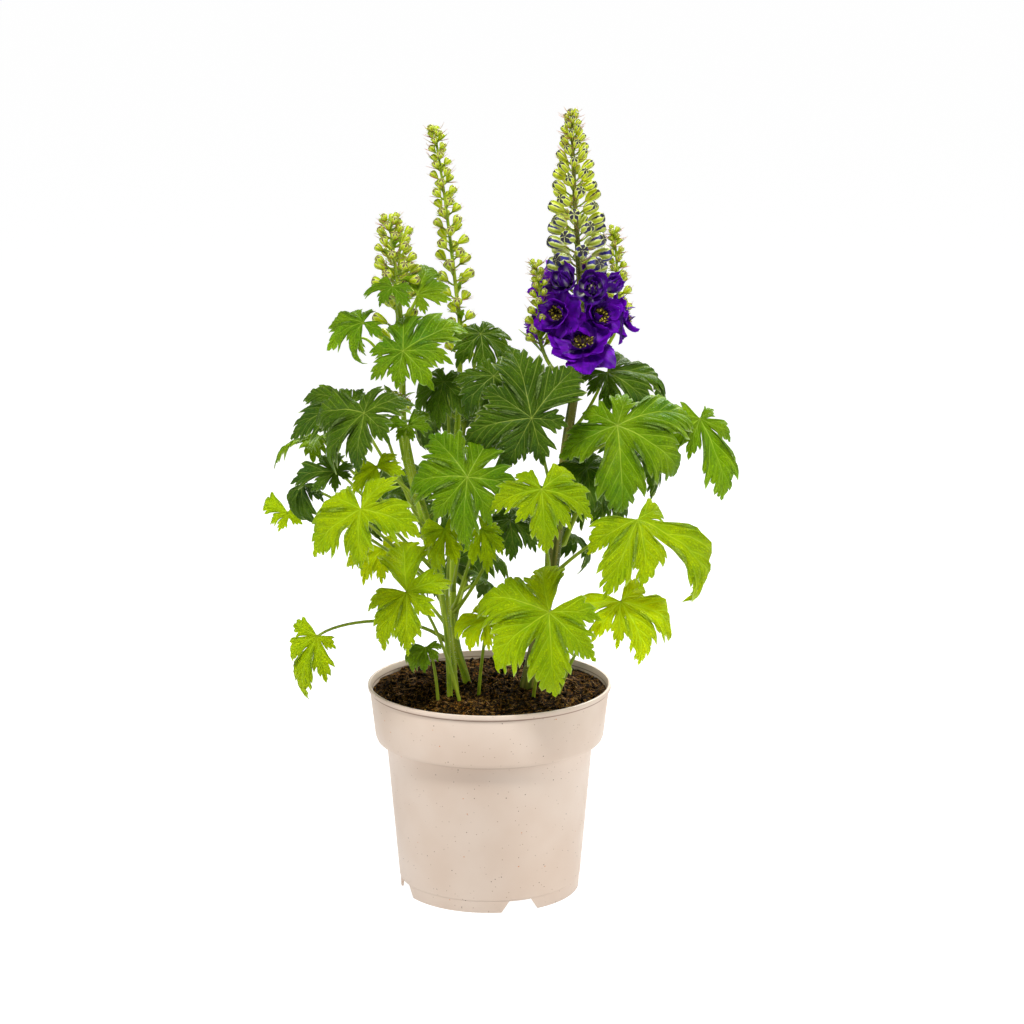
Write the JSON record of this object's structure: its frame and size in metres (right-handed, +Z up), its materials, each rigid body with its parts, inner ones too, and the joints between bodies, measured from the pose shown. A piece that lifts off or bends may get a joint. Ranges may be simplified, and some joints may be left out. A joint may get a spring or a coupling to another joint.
{
  "type": "potted delphinium plant",
  "caption": "Garden perennial in a tapered plastic nursery pot: upright spikes of buds, a cluster of semi-double violet flowers and broad lobed leaves on long stalks.",
  "frame": {"origin": "on the floor, under the middle of the whole plant; the pot's axis stands about 4 mm to the left of it and 13 mm behind it", "axes": "+Z up along the pot's axis, the plant's height; front towards -Y; +X to the right seen from the front"},
  "size_m": [0.3776, 0.2476, 0.6114],
  "materials": {
    "pot": "matte moulded plastic",
    "compost": "matte, crumbly",
    "main_stem": "satin",
    "stem": "satin",
    "petal": "soft satin",
    "flower_eye": "matte, hairy",
    "leaf_dark": "satin",
    "leaf_middle": "satin",
    "leaf_bright": "satin"
  },
  "bodies": {
    "root": {"eye_back_left": "flower_eye", "eye_back_low": "flower_eye", "eye_front": "flower_eye", "eye_left": "flower_eye", "eye_right": "flower_eye", "eye_side_left": "flower_eye", "eye_side_right": "flower_eye", "flower_back_left": "petal", "flower_back_low": "petal", "flower_back_right": "petal", "flower_front": "petal", "flower_half_left": "petal", "flower_half_right": "petal", "flower_left": "petal", "flower_right": "petal", "flower_side_left": "petal", "flower_side_right": "petal", "flower_upper": "petal", "leaf_back_light": "leaf_bright", "leaf_centre_bright": "leaf_bright", "leaf_centre_dark": "leaf_dark", "leaf_far_left": "leaf_bright", "leaf_far_right": "leaf_dark", "leaf_front_low": "leaf_bright", "leaf_front_middle": "leaf_middle", "leaf_inner_left": "leaf_dark", "leaf_inner_low": "leaf_dark", "leaf_inner_middle": "leaf_dark", "leaf_inner_right": "leaf_dark", "leaf_inner_top": "leaf_dark", "leaf_left_back_up": "leaf_dark", "leaf_left_bright": "leaf_bright", "leaf_left_dark": "leaf_dark", "leaf_left_droop": "leaf_dark", "leaf_left_inner": "leaf_bright", "leaf_left_pale": "leaf_middle", "leaf_left_tip": "leaf_bright", "leaf_left_top": "leaf_middle", "leaf_left_upper": "leaf_dark", "leaf_low_old": "leaf_middle", "leaf_low_pale": "leaf_bright", "leaf_lower_left": "leaf_bright", "leaf_right_big": "leaf_bright", "leaf_right_low": "leaf_bright", "leaf_right_tall": "leaf_dark", "leaf_right_top": "leaf_dark", "leaf_under_left": "leaf_bright", "leaf_under_right": "leaf_bright", "pot": "pot", "shoot_back_left": "leaf_dark", "shoot_back_low": "leaf_dark", "shoot_back_middle": "leaf_dark", "shoot_back_right": "leaf_dark", "shoot_right": "leaf_dark", "shoot_young": "stem", "soil": "compost", "stem_back_left": "stem", "stem_left": "stem", "stem_main": "main_stem", "stem_middle": "stem"}
  },
  "joints": []
}
